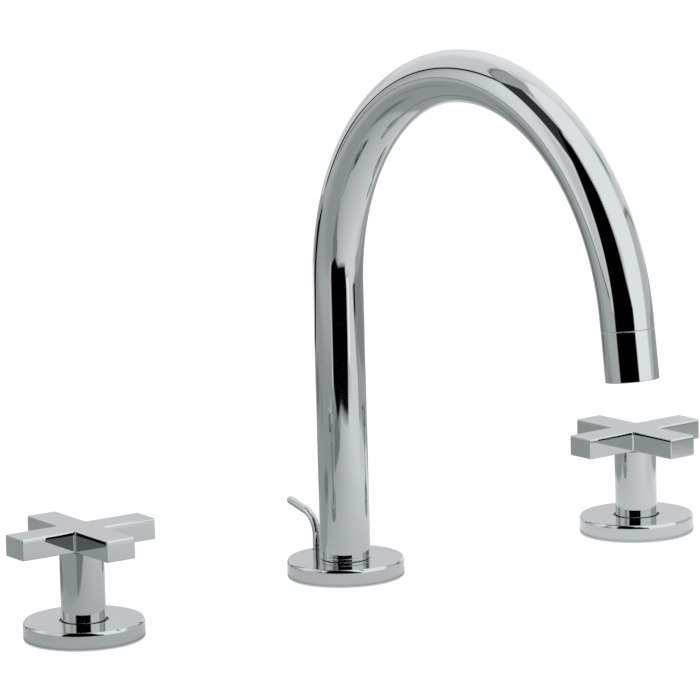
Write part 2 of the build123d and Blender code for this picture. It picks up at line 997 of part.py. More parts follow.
def lift_rod():
    with BuildLine(Plane.YZ) as path:
        Line((rod_back, rod_bottom), (rod_back, rod_straight_top))
        centre = (rod_back + rod_bend_radius, rod_straight_top)
        bend = CenterArc(centre, rod_bend_radius, 180, -rod_bend_angle)
        Line(bend @ 1, bend @ 1 + (bend % 1) * (rod_finger - rod_radius))
    finger_end = path.wires()[0] @ 1
    with BuildPart() as rod:
        with BuildSketch(Plane((0, rod_back, rod_bottom))):
            Circle(rod_radius)
        sweep(path=path.wires()[0])
        with Locations(finger_end):
            Sphere(rod_radius)
    keep(rod, "lift_rod")


def lift_rod_guide():
    place = Plane((0, rod_back, 0))
    with BuildPart() as guide:
        revolve(
            ring(place, rod_radius + running_fit, guide_radius, guide_bottom, cup_ceiling),
            axis=spin(place),
        )
    keep(guide, "lift_rod_guide")


def lift_rod_clamp():
    depth = 2 * clamp_front + link_offset
    middle = rod_back + link_offset / 2
    level = clamp_top - clamp_height / 2
    with BuildPart() as clamp:
        with BuildSketch(Plane((0, middle, clamp_top - clamp_height))):
            Rectangle(2 * clamp_half_width, depth)
            with Locations((0, -link_offset / 2)):
                Circle(rod_radius + running_fit, mode=Mode.SUBTRACT)
            with Locations((0, link_offset / 2)):
                Circle(link_radius, mode=Mode.SUBTRACT)
        extrude(amount=clamp_height)
        for y, away in ((rod_back, 1), (rod_back + link_offset, -1)):
            thread = Plane((0, y, level), x_dir=(0, 1, 0), z_dir=(away, 0, 0))
            revolve(
                ring(thread, 0, thumb_shaft_radius + thread_fit, 0, clamp_half_width + overrun),
                axis=spin(thread),
                mode=Mode.SUBTRACT,
            )
    keep(clamp, "lift_rod_clamp")
    with BuildPart() as screws:
        for y, away, start in ((rod_back, 1, rod_radius), (rod_back + link_offset, -1, link_radius)):
            place = Plane((0, y, level), x_dir=(0, 1, 0), z_dir=(away, 0, 0))
            revolve(
                turned(
                    place,
                    (0, start + running_fit),
                    (thumb_shaft_radius, start + running_fit),
                    (thumb_shaft_radius, clamp_half_width + slip_fit),
                    (thumb_radius, clamp_half_width + slip_fit),
                    (thumb_radius, clamp_half_width + slip_fit + thumb_height),
                    (0, clamp_half_width + slip_fit + thumb_height),
                ),
                axis=spin(place),
            )
    keep(screws, "thumb_screws")


escutcheon("spout_escutcheon", spout_base, spout_glide_radius + slip_fit)
deck_gaskets()
under_deck_hardware()
top_flanges()
for side in sides:
    escutcheon(f"{side}_escutcheon", station(side), stem_radius + handle_gap)
    valve_body(side)
    cartridge_bush(side)
    spindle(side)
    ceramic_discs(side)
    valve_seals(side)
    handle_stem(side)
    handle_cross(side)
    handle_screws(side)
spout_shank()
spout_spigot()
spout_small_parts()
spout_tube()
spout_tee()
aerator_housing()
aerator_insert()
lift_rod()
lift_rod_guide()
lift_rod_clamp()
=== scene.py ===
import json
import math

import bmesh
import bpy
import numpy as np
from mathutils import Matrix, Vector


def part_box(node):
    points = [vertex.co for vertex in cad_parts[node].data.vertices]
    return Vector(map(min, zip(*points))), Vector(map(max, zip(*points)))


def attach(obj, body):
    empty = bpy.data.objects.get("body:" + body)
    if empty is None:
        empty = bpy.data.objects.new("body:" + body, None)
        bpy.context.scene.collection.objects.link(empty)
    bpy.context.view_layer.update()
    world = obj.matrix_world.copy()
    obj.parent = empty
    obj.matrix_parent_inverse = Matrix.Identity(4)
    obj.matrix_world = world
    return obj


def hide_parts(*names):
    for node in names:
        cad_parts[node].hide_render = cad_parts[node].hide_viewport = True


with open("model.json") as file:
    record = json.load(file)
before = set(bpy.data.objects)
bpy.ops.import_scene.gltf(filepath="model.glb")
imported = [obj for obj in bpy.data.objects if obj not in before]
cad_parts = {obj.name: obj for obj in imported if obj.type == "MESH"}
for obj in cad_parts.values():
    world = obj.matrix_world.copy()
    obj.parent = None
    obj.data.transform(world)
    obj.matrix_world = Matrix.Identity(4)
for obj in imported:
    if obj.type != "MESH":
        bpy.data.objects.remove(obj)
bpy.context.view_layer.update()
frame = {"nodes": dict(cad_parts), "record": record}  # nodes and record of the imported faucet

mm = 0.001
fineEdge = 0.1 * mm  # rounding of edges that hardly show
sides = {"hot": -1, "cold": 1}
noiseRange = (0.3, 0.7)  # most of a noise field lies between these


# Node helpers: an emptied node tree with its output, then what the finishes are mixed from
def bareNodes(owner, output):
    owner.use_nodes = True
    nodes = owner.node_tree.nodes
    nodes.clear()
    return nodes, owner.node_tree.links, nodes.new(output)


def noiseField(nodes, links, scale, detail, roughness=0.5):
    place = nodes.new("ShaderNodeTexCoord")
    cloud = nodes.new("ShaderNodeTexNoise")
    cloud.inputs["Scale"].default_value = scale
    cloud.inputs["Detail"].default_value = detail
    cloud.inputs["Roughness"].default_value = roughness
    links.new(place.outputs["Object"], cloud.inputs["Vector"])
    return cloud.outputs["Fac"]


def spread(nodes, links, value, low, high):
    remap = nodes.new("ShaderNodeMapRange")
    remap.inputs["From Min"].default_value = noiseRange[0]
    remap.inputs["From Max"].default_value = noiseRange[1]
    remap.inputs["To Min"].default_value = low
    remap.inputs["To Max"].default_value = high
    links.new(value, remap.inputs["Value"])
    return remap.outputs["Result"]


def blendColours(nodes, links, value, first, second):
    ramp = nodes.new("ShaderNodeValToRGB")
    for stop, position, colour in zip(ramp.color_ramp.elements, noiseRange, (first, second)):
        stop.position = position
        stop.color = (*colour, 1)
    links.new(value, ramp.inputs["Fac"])
    return ramp.outputs["Color"]


def bumpFrom(nodes, links, value, distance):
    bump = nodes.new("ShaderNodeBump")
    bump.inputs["Distance"].default_value = distance
    links.new(value, bump.inputs["Height"])
    return bump.outputs["Normal"]


# Each finish: two close colours, metal or not, roughness range, its scale, bump depth in metres and scale
finishTable = {
    "chrome": {"colours": ((0.478, 0.506, 0.508), (0.496, 0.520, 0.524)), "metallic": 1.0,
               "roughness": (0.022, 0.045), "scale": 38, "bump": 0.0000012, "bumpScale": 55},
    "brass": {"colours": ((0.66, 0.47, 0.20), (0.78, 0.60, 0.31)), "metallic": 1.0,
              "roughness": (0.22, 0.38), "scale": 240, "bump": 0.00002, "bumpScale": 900},
    "steel": {"colours": ((0.50, 0.51, 0.53), (0.66, 0.66, 0.64)), "metallic": 1.0,
              "roughness": (0.26, 0.42), "scale": 300, "bump": 0.00002, "bumpScale": 1200},
    "rubber": {"colours": ((0.018, 0.018, 0.019), (0.040, 0.040, 0.041)), "metallic": 0.0,
               "roughness": (0.55, 0.78), "scale": 400, "bump": 0.00004, "bumpScale": 1500},
    "nylon": {"colours": ((0.035, 0.035, 0.038), (0.060, 0.060, 0.066)), "metallic": 0.0,
              "roughness": (0.34, 0.5), "scale": 350, "bump": 0.00002, "bumpScale": 1100},
    "ceramic": {"colours": ((0.80, 0.79, 0.74), (0.88, 0.87, 0.83)), "metallic": 0.0,
                "roughness": (0.08, 0.16), "scale": 260, "bump": 0.000004, "bumpScale": 1400},
    "fibre": {"colours": ((0.34, 0.08, 0.05), (0.50, 0.16, 0.11)), "metallic": 0.0,
              "roughness": (0.6, 0.85), "scale": 500, "bump": 0.00005, "bumpScale": 1700},
}


def makeFinish(name, look):
    material = bpy.data.materials.new(name)
    nodes, links, output = bareNodes(material, "ShaderNodeOutputMaterial")
    shader = nodes.new("ShaderNodeBsdfPrincipled")
    shader.inputs["Metallic"].default_value = look["metallic"]
    tone = noiseField(nodes, links, look["scale"] * 0.4, detail=2)
    links.new(blendColours(nodes, links, tone, *look["colours"]), shader.inputs["Base Color"])
    wear = noiseField(nodes, links, look["scale"], detail=5, roughness=0.6)
    links.new(spread(nodes, links, wear, *look["roughness"]), shader.inputs["Roughness"])
    grain = noiseField(nodes, links, look["bumpScale"], detail=2)
    links.new(bumpFrom(nodes, links, grain, look["bump"]), shader.inputs["Normal"])
    links.new(shader.outputs["BSDF"], output.inputs["Surface"])
    return material


finishes = {name: makeFinish(name, look) for name, look in finishTable.items()}
slotOf = {part["node"]: part["material_slot"] for part in frame["record"]["subparts"]}
print("finishes ready:", ", ".join(finishes))


# Mesh helpers
def boxCentre(node):
    low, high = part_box(node)
    return (low + high) / 2


def upright(x, y, z=0.0):
    return Matrix.Translation((x, y, z))


# A closed half section with rounded corners, each corner as radius, height, rounding. The hold is a share
# of the rounding: a point that far past it keeps the flat side flat
def roundedLoop(corners, steps=6, hold=0.3):
    loop = []
    for i, (r, z, rounding) in enumerate(corners):
        here = Vector((r, z))
        if rounding <= 0:
            loop.append(here)
            continue
        back = (Vector(corners[i - 1][:2]) - here).normalized()
        ahead = (Vector(corners[(i + 1) % len(corners)][:2]) - here).normalized()
        half = back.angle(ahead) / 2
        reach = rounding / math.tan(half)
        centre = here + (back + ahead).normalized() * rounding / math.sin(half)
        arm = here + back * reach - centre
        end = here + ahead * reach - centre
        turn = math.pi - 2 * half
        if arm.x * end.y - arm.y * end.x < 0:
            turn = -turn
        loop.append(here + back * (reach + hold * rounding))
        for k in range(steps + 1):
            a = turn * k / steps
            swung = Vector((arm.x * math.cos(a) - arm.y * math.sin(a),
                            arm.x * math.sin(a) + arm.y * math.cos(a)))
            loop.append(centre + swung)
        loop.append(here + ahead * (reach + hold * rounding))
    return loop


def finishMesh(bm, name, sharpAngle=40):
    bmesh.ops.recalc_face_normals(bm, faces=bm.faces)
    mesh = bpy.data.meshes.new(name)
    bm.to_mesh(mesh)
    bm.free()
    for face in mesh.polygons:
        face.use_smooth = True
    mesh.set_sharp_from_angle(angle=math.radians(sharpAngle))
    return mesh


def bridgeRings(bm, rings, closed):
    pairs = list(zip(rings, rings[1:]))
    if closed:
        pairs.append((rings[-1], rings[0]))
    for a, b in pairs:
        count = max(len(a), len(b))
        for i in range(count):
            corners = [a[i % len(a)], a[(i + 1) % len(a)], b[(i + 1) % len(b)], b[i % len(b)]]
            unique = list(dict.fromkeys(corners))
            if len(unique) > 2:
                bm.faces.new(unique)


# One ring of points at equal angles, each with its own radius
def ringOf(bm, place, radii, height):
    ring = []
    for i, radius in enumerate(radii):
        a = 2 * math.pi * i / len(radii)
        ring.append(bm.verts.new(place @ Vector((radius * math.cos(a), radius * math.sin(a), height))))
    return ring


# Turns a closed half section round an axis
def addTurned(bm, loop, place, segments):
    rings = []
    for point in loop:
        onAxis = point.x < 1e-7
        rings.append(ringOf(bm, place, [0] if onAxis else [point.x] * segments, point.y))
    bridgeRings(bm, rings, True)


def turnedMesh(name, corners, place, segments):
    bm = bmesh.new()
    addTurned(bm, roundedLoop(corners), place, segments)
    return finishMesh(bm, name)


# A plain round bar to drill a hole with, 5 mm to each side of a level
def drillBit(radius, level, place, segments):
    low, high = level - 5 * mm, level + 5 * mm
    return turnedMesh("drill", [(0, low, 0), (radius, low, 0), (radius, high, 0), (0, high, 0)],
                      place, segments)


def addPiece(name, mesh, finish, body, *nodes):
    mesh.materials.clear()
    mesh.materials.append(finishes[finish])
    piece = bpy.data.objects.new(name, mesh)
    bpy.context.scene.collection.objects.link(piece)
    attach(piece, body)
    if nodes:
        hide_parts(*nodes)


# Cuts one mesh with another and keeps the result
def cutAway(mesh, cutter, sharpAngle=40):
    target = bpy.data.objects.new("cutTarget", mesh)
    tool = bpy.data.objects.new("cutTool", cutter)
    for item in (target, tool):
        bpy.context.scene.collection.objects.link(item)
    cut = target.modifiers.new("cut", "BOOLEAN")
    cut.operation = "DIFFERENCE"
    cut.solver = "EXACT"
    cut.object = tool
    evaluated = target.evaluated_get(bpy.context.evaluated_depsgraph_get())
    result = bpy.data.meshes.new_from_object(evaluated)
    result.name = mesh.name
    for item in (target, tool):
        bpy.data.objects.remove(item)
    result.set_sharp_from_angle(angle=math.radians(sharpAngle))
    return result


# Escutcheons: shallow turned cups with a softly rounded rim
escutcheon = {
    "wall": 1.6 * mm,
    "top": 1.8 * mm,
    "rim": (0.15 * mm, 3.0 * mm, math.radians(52)),  # small and large rounding, tilt where they meet
    "rimSteps": (6, 12),
    "rimHold": 0.3 * mm,
    "holeRounding": 0.25 * mm,
    "innerCorner": 0.3 * mm,
    "footRounding": 0.15 * mm,
    "holes": {"spout": 11.25 * mm, "hot": 11.35 * mm, "cold": 11.35 * mm},
    "rodHole": (2.35 * mm, 48),  # radius, segments
    "segments": 192,
}
for station, hole in escutcheon["holes"].items():
    node = f"{station}_escutcheon"
    low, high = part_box(node)
    centre = (low + high) / 2
    radius = (high.x - low.x) / 2
    height = high.z
    small, large, tilt = escutcheon["rim"]
    smallSteps, largeSteps = escutcheon["rimSteps"]
    inset = large * (1 - math.sin(tilt)) + small * math.sin(tilt)
    drop = large * math.cos(tilt) + small * (1 - math.cos(tilt))
    loop = roundedLoop([
        (radius - inset, height - drop, 0),
        (radius - inset, height, 0),
        (hole, height, escutcheon["holeRounding"]),
        (hole, height - escutcheon["top"], fineEdge),
        (radius - escutcheon["wall"], height - escutcheon["top"], escutcheon["innerCorner"]),
        (radius - escutcheon["wall"], 0, fineEdge),
        (radius, 0, escutcheon["footRounding"]),
        (radius, height - drop - escutcheon["rimHold"], 0),
    ])
    rim = []
    for k in range(largeSteps + 1):
        a = math.radians(90) - (math.radians(90) - tilt) * k / largeSteps
        rim.append(Vector((radius - large * (1 - math.sin(a)), height - drop + large * math.cos(a))))
    for k in range(1, smallSteps + 1):
        a = tilt * (1 - k / smallSteps)
        rim.append(Vector((radius - inset + small * math.sin(a), height - small * (1 - math.cos(a)))))
    loop[:2] = rim + [Vector((radius - inset - escutcheon["rimHold"], height))]
    bm = bmesh.new()
    addTurned(bm, loop, upright(centre.x, centre.y), escutcheon["segments"])
    mesh = finishMesh(bm, node)
    if station == "spout":
        rod = boxCentre("lift_rod_guide")
        rodHole, segments = escutcheon["rodHole"]
        mesh = cutAway(mesh, drillBit(rodHole, height, upright(rod.x, rod.y), segments))
    addPiece(f"{station}Escutcheon", mesh, "chrome", "root", node)
print("escutcheons turned")


# Handle stems: a drawn sleeve over the hub that takes the spline
stem = {
    "wall": 1.5 * mm,
    "footRounding": 0.35 * mm,
    "topRounding": 0.6 * mm,
    "hubBottom": 15.2 * mm,
    "boss": (7.0 * mm, 3.5 * mm),
    "screwHole": (2.05 * mm, 40),  # radius, segments
    "screwLevel": 23.0 * mm,
    "screwFlat": 4.0 * mm,  # rings above and below the screw hole
    "innerCorner": 0.2 * mm,
    "segments": 128,
}
for side in sides:
    node = f"{side}_handle_stem"
    low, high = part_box(node)
    centre = (low + high) / 2
    radius = (high.x - low.x) / 2
    inner = radius - stem["wall"]
    bossRadius, bossDepth = stem["boss"]
    mesh = turnedMesh(node, [
        (0, high.z - bossDepth, 0),
        (bossRadius, high.z - bossDepth, fineEdge),
        (bossRadius, high.z, fineEdge),
        (radius, high.z, stem["topRounding"]),
        (radius, stem["screwLevel"] + stem["screwFlat"], 0),
        (radius, stem["screwLevel"] - stem["screwFlat"], 0),
        (radius, low.z, stem["footRounding"]),
        (inner, low.z, stem["innerCorner"]),
        (inner, stem["hubBottom"], stem["innerCorner"]),
        (0, stem["hubBottom"], 0),
    ], upright(centre.x, centre.y), stem["segments"])
    backwards = Matrix.Rotation(math.radians(-90), 4, "X")
    backwards = upright(centre.x, centre.y, stem["screwLevel"]) @ backwards
    screwHole, segments = stem["screwHole"]
    mesh = cutAway(mesh, drillBit(screwHole, radius, backwards, segments))
    addPiece(f"{side}HandleStem", mesh, "chrome", f"{side}_handle", node)
print("handle stems turned")


# Crosses: two flat bars, polished so that each face rolls off a little before its edge
cross = {
    "span": 70.5 * mm,
    "barWidth": 15.0 * mm,
    "barHeight": 10.0 * mm,
    "innerCorner": 1.0 * mm,
    "endCorner": 0.45 * mm,
    "hold": 0.2 * mm,
    "upperRollOff": (1.7 * mm, math.radians(11)),  # height of the zone, tilt at its end
    "lowerRollOff": (0.5 * mm, math.radians(2)),
    "edge": 0.4 * mm,
    "faceHold": 0.3 * mm,
    "turn": math.radians(2.0),  # a shut cross stands a little past square
    "boss": (6.95 * mm, 3.5 * mm, 0.3 * mm),  # radius, height, edge rounding
    "bossOverlap": 0.5 * mm,
    "bossSegments": 64,
}


def quarterTurn(steps):
    return [math.radians(90 * k / steps) for k in range(steps + 1)]


# Plan of the cross, drawn in by the given amount; a point beside each corner keeps the sides flat
def crossOutline(drawnIn, past, steps=6):
    points = []
    reach = cross["span"] / 2 - drawnIn
    half = cross["barWidth"] / 2 - drawnIn
    corner = cross["innerCorner"] + drawnIn
    end = max(cross["endCorner"] - drawnIn, fineEdge / 2)
    hold = cross["hold"]
    for quarter in range(4):
        turn = Matrix.Rotation(math.radians(90 * quarter) + past, 2)
        arm = [(reach - end - hold, -half)]
        arm += [(reach - end + end * math.sin(a), end - half - end * math.cos(a))
                for a in quarterTurn(steps)]
        arm += [(reach, end + hold - half), (reach, half - end - hold)]
        arm += [(reach - end + end * math.cos(a), half - end + end * math.sin(a))
                for a in quarterTurn(steps)]
        arm += [(reach - end - hold, half), (half + corner + hold, half)]
        arm += [(half + corner - corner * math.sin(a), half + corner - corner * math.cos(a))
                for a in quarterTurn(steps)]
        arm.append((half, half + corner + hold))
        points += [turn @ Vector(point) for point in arm]
    return points


# Half profile of a bar's side, from its middle up: how far it is drawn in, and its height
def barProfile(zone, tilt, steps=8):
    top = cross["barHeight"] / 2
    sunk = zone * tilt / 2
    radius = cross["edge"] / (1 - math.sin(tilt))
    flatEnd = top - zone - cross["edge"]
    profile = [(0, 0), (0, flatEnd - cross["edge"])]
    profile += [(sunk * (k / steps) ** 2, flatEnd + zone * k / steps) for k in range(steps + 1)]
    for k in range(1, steps + 1):
        a = tilt + (math.radians(90) - tilt) * k / steps
        profile.append((sunk + radius * (math.cos(tilt) - math.cos(a)),
                        top + radius * (math.sin(a) - 1)))
    profile.append((profile[-1][0] + cross["faceHold"], top))
    return profile


for side in sides:
    node = f"{side}_handle_cross"
    low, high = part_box(node)
    centre = (low + high) / 2
    underside = high.z - cross["barHeight"]
    middle = high.z - cross["barHeight"] / 2
    upper = barProfile(*cross["upperRollOff"])
    lower = [(drawnIn, -height) for drawnIn, height in reversed(barProfile(*cross["lowerRollOff"]))]
    bm = bmesh.new()
    rings = []
    for drawnIn, height in lower[:-1] + upper:
        rings.append([bm.verts.new((centre.x + point.x, centre.y + point.y, middle + height))
                      for point in crossOutline(drawnIn, sides[side] * cross["turn"])])
    bridgeRings(bm, rings, False)
    bm.faces.new(rings[0])
    bm.faces.new(rings[-1])
    bossRadius, bossHeight, bossEdge = cross["boss"]
    addTurned(bm, roundedLoop([
        (0, underside - bossHeight, 0),
        (bossRadius, underside - bossHeight, bossEdge),
        (bossRadius, underside + cross["bossOverlap"], 0),
        (0, underside + cross["bossOverlap"], 0),
    ]), upright(centre.x, centre.y), cross["bossSegments"])
    mesh = finishMesh(bm, node, sharpAngle=35)
    addPiece(f"{side}HandleCross", mesh, "chrome", f"{side}_handle", node)
print("crosses milled")


# Spout: one long bent tube with its foot ring and the aerator's housing at the tip
spout = {
    "radius": 12.0 * mm,
    "wall": 1.2 * mm,
    "bendLevel": 141.0 * mm,
    "bendRadius": 109.5 * mm,
    "bendAngle": math.radians(173),
    "tipStraight": 5.5 * mm,
    "tubeFoot": 10.15 * mm,
    "footRounding": 0.15 * mm,
    "seamRounding": 0.3 * mm,
    "seamHold": 1.4,  # times the rounding, keeps the tube straight up to it
    "seamSteps": 6,
    "segments": 160,
    "straightSteps": 12,
    "bendSteps": 220,
}


# Centre line of the tube, each point with its direction
def spoutAxis():
    line = []
    foot, level, bend = spout["tubeFoot"], spout["bendLevel"], spout["bendRadius"]
    for k in range(spout["straightSteps"] + 1):
        height = foot + (level - foot) * k / spout["straightSteps"]
        line.append((Vector((0, 0, height)), Vector((0, 0, 1))))
    for k in range(1, spout["bendSteps"] + 1):
        a = spout["bendAngle"] * k / spout["bendSteps"]
        line.append((Vector((0, -bend + bend * math.cos(a), level + bend * math.sin(a))),
                     Vector((0, -math.sin(a), math.cos(a)))))
    end, heading = line[-1]
    line.append((end + heading * spout["tipStraight"], heading))
    return line


def sweptRings(bm, stations, segments):
    rings = []
    for centre, heading, radius in stations:
        across = Vector((1, 0, 0))
        other = heading.cross(across)
        ring = []
        for i in range(segments):
            a = 2 * math.pi * i / segments
            ring.append(bm.verts.new(centre + radius * (math.cos(a) * across + math.sin(a) * other)))
        rings.append(ring)
    return rings


axisLine = spoutAxis()
tipPoint, tipHeading = axisLine[-1]
footPoint, footHeading = axisLine[0]
footRounding = spout["footRounding"]
seamRounding = spout["seamRounding"]
outer = []
for rise, cutBack in ((0, 1), (1 / 3, 1 / 3), (1, 0), (2, 0)):
    outer.append((footPoint + footHeading * footRounding * rise, footHeading,
                  spout["radius"] - footRounding * cutBack))
outer += [(point, heading, spout["radius"]) for point, heading in axisLine[1:-1]]
outer.append((tipPoint - tipHeading * seamRounding * spout["seamHold"], tipHeading, spout["radius"]))
for a in quarterTurn(spout["seamSteps"]):
    outer.append((tipPoint - tipHeading * seamRounding * (1 - math.sin(a)), tipHeading,
                  spout["radius"] - seamRounding * (1 - math.cos(a))))
innerRadius = spout["radius"] - spout["wall"]
inner = [(point, heading, innerRadius) for point, heading in reversed(axisLine)]
bm = bmesh.new()
bridgeRings(bm, sweptRings(bm, outer + inner, spout["segments"]), True)
addPiece("spoutTube", finishMesh(bm, "spoutTube"), "chrome", "spout", "spout_tube")

# The spigot's foot ring shows as a fine line above the escutcheon
spigot = {
    "radius": 10.0 * mm,
    "bottom": -28.0 * mm,
    "bore": 7.0 * mm,
    "foot": 8.65 * mm,
    "plugTop": 26.15 * mm,
    "endRounding": 0.3 * mm,
    "ringRounding": 0.3 * mm,
    "grooves": (-20.0 * mm, -12.0 * mm),
    "grooveHalf": 0.85 * mm,
    "grooveBottom": 8.5 * mm,
    "grooveCorner": 0.15 * mm,
    "slotLevel": 3.8 * mm,  # the slot in which the swivel stop runs
    "slotHalf": 2.1 * mm,
    "slotBottom": 8.4 * mm,
    "slotReach": math.radians(74.48),
    "slotSteps": 48,
}
plug = innerRadius - 0.05 * mm  # what goes into the tube at either end
grooveCorners = []
for level in spigot["grooves"]:
    grooveCorners += [
        (spigot["radius"], level - spigot["grooveHalf"], fineEdge),
        (spigot["grooveBottom"], level - spigot["grooveHalf"], spigot["grooveCorner"]),
        (spigot["grooveBottom"], level + spigot["grooveHalf"], spigot["grooveCorner"]),
        (spigot["radius"], level + spigot["grooveHalf"], fineEdge),
    ]
mesh = turnedMesh("spoutSpigot", [
    (spigot["bore"], spigot["bottom"], fineEdge),
    (spigot["radius"], spigot["bottom"], spigot["endRounding"]),
    *grooveCorners,
    (spigot["radius"], spigot["foot"], fineEdge / 2),
    (spout["radius"], spigot["foot"], spigot["ringRounding"]),
    (spout["radius"], spout["tubeFoot"], spigot["ringRounding"]),
    (plug, spout["tubeFoot"], fineEdge / 2),
    (plug, spigot["plugTop"], spigot["endRounding"]),
    (spigot["bore"], spigot["plugTop"], fineEdge),
], upright(0, 0), spout["segments"])
slot = bmesh.new()
steps = spigot["slotSteps"]
slotAngles = [spigot["slotReach"] * (2 * k / steps - 1) for k in range(steps + 1)]
rings = []
for radius, level in ((spigot["slotBottom"], -1), (spigot["radius"] + 1 * mm, -1),
                      (spigot["radius"] + 1 * mm, 1), (spigot["slotBottom"], 1)):
    height = spigot["slotLevel"] + level * spigot["slotHalf"]
    rings.append([slot.verts.new((radius * math.cos(a), radius * math.sin(a), height))
                  for a in slotAngles])
for a, b in zip(rings, rings[1:] + rings[:1]):
    for i in range(steps):
        slot.faces.new((a[i], a[i + 1], b[i + 1], b[i]))
for end in (0, -1):
    slot.faces.new([ring[end] for ring in rings])
mesh = cutAway(mesh, finishMesh(slot, "slot"))
addPiece("spoutSpigot", mesh, "chrome", "spout", "spout_spigot")

housing = {
    "length": 22.5 * mm,
    "bore": 9.3 * mm,
    "threadLength": 5.2 * mm,
    "lipHeight": 2.0 * mm,
    "lipRadius": 8.6 * mm,
    "rounding": 0.3 * mm,
    "threadRounding": 0.2 * mm,
    "lipRounding": 0.5 * mm,
}
tipPlace = Matrix.Translation(tipPoint) @ tipHeading.to_track_quat("Z", "X").to_matrix().to_4x4()
mesh = turnedMesh("aeratorHousing", [
    (housing["bore"], -housing["threadLength"], fineEdge),
    (plug, -housing["threadLength"], housing["threadRounding"]),
    (plug, 0, fineEdge / 2),
    (spout["radius"], 0, housing["rounding"]),
    (spout["radius"], housing["length"], housing["rounding"]),
    (housing["lipRadius"], housing["length"], housing["lipRounding"]),
    (housing["lipRadius"], housing["length"] - housing["lipHeight"], fineEdge),
    (housing["bore"], housing["length"] - housing["lipHeight"], fineEdge),
], tipPlace, spout["segments"])
addPiece("aeratorHousing", mesh, "chrome", "spout", "aerator_housing")
print("spout bent and turned")


# Lift rod of the pop-up waste, with a domed end
liftRod = {
    "radius": 2.0 * mm,
    "back": 23.5 * mm,
    "bottom": -100.0 * mm,
    "straightTop": 15.7 * mm,
    "bendRadius": 11.0 * mm,
    "bendAngle": math.radians(77),
    "finger": 12.5 * mm,
    "chamfer": 0.4 * mm,
    "straightFrom": 1.0 * mm,  # above the bottom
    "straightSteps": 11,
    "bendSteps": 30,
    "fingerSteps": 4,
    "domeSteps": 12,
    "segments": 48,
}
rodRadius, bendRadius = liftRod["radius"], liftRod["bendRadius"]
start = Vector((0, liftRod["back"], liftRod["bottom"]))
up = Vector((0, 0, 1))
stations = [(start, up, 0.0), (start, up, rodRadius - liftRod["chamfer"]),
            (start + up * liftRod["chamfer"], up, rodRadius)]
low, high = liftRod["bottom"] + liftRod["straightFrom"], liftRod["straightTop"]
for k in range(liftRod["straightSteps"] + 1):
    height = low + (high - low) * k / liftRod["straightSteps"]
    stations.append((Vector((0, liftRod["back"], height)), up, rodRadius))
for k in range(1, liftRod["bendSteps"] + 1):
    a = liftRod["bendAngle"] * k / liftRod["bendSteps"]
    away, rise = bendRadius * (1 - math.cos(a)), bendRadius * math.sin(a)
    stations.append((Vector((0, liftRod["back"] + away, high + rise)),
                     Vector((0, math.sin(a), math.cos(a))), rodRadius))
bendEnd, heading, _ = stations[-1]
for k in range(1, liftRod["fingerSteps"] + 1):
    reach = liftRod["finger"] * k / liftRod["fingerSteps"]
    stations.append((bendEnd + heading * reach, heading, rodRadius))
fingerEnd = stations[-1][0]
for a in quarterTurn(liftRod["domeSteps"])[1:]:
    stations.append((fingerEnd + heading * rodRadius * math.sin(a), heading,
                     max(rodRadius * math.cos(a), 0.0)))
bm = bmesh.new()
bridgeRings(bm, sweptRings(bm, stations, liftRod["segments"]), False)
bmesh.ops.remove_doubles(bm, verts=bm.verts, dist=1e-7)
addPiece("liftRod", finishMesh(bm, "liftRod"), "chrome", "lift_rod", "lift_rod")
print("lift rod bent")


# Threads below the deck: each is a sleeve with one helical ridge in place of the plain cylinder
thread = {
    "depth": 0.54,  # share of the pitch
    "sleeve": 0.25 * mm,  # how deep the sleeve sits in the metal under the ridge
    "clearance": 0.02 * mm,
    "weld": 0.05 * mm,  # closes the slivers left by the cuts
    "segments": 64,
    "rows": 8,  # to a turn
    "runOut": 0.7,  # turns over which the ridge rises and fades
    "flank": (1.3, 0.15),  # how steeply the ridge rises and how flat its root is
    "shank": (14.0 * mm, -61.2 * mm, -0.6 * mm, 1.5 * mm),  # crest, lower end, upper end, pitch
    "inlet": (10.48 * mm, -107.5 * mm, -92.6 * mm, 1.814 * mm),
    "outlet": (8.33 * mm, 18.6 * mm, 29.5 * mm, 1.337 * mm),
}


def addThread(bm, place, crest, low, high, pitch):
    depth = thread["depth"] * pitch
    rows = round((high - low) / pitch * thread["rows"])
    steepness, rootShare = thread["flank"]
    rings = []
    for j in range(rows + 1):
        z = low + (high - low) * j / rows
        fade = min((z - low) / (thread["runOut"] * pitch), (high - z) / (thread["runOut"] * pitch), 1)
        radii = []
        for i in range(thread["segments"]):
            phase = (z / pitch - i / thread["segments"]) % 1
            ridge = min(max(steepness * (1 - abs(2 * phase - 1)) - rootShare, 0), 1)
            radii.append(crest - depth * (1 - ridge * fade))
        rings.append(ringOf(bm, place, radii, z))
    for z in (high, low):
        rings.append(ringOf(bm, place, [crest - depth - thread["sleeve"]] * thread["segments"], z))
    bridgeRings(bm, rings, True)


# A new mesh with a CAD node's points and faces, welded where its faces meet
def weldedCopy(node):
    source = frame["nodes"][node].data
    bm = bmesh.new()
    corners = [bm.verts.new(vertex.co) for vertex in source.vertices]
    for polygon in source.polygons:
        bm.faces.new([corners[i] for i in polygon.vertices])
    bmesh.ops.remove_doubles(bm, verts=bm.verts, dist=1e-6)
    return finishMesh(bm, node)


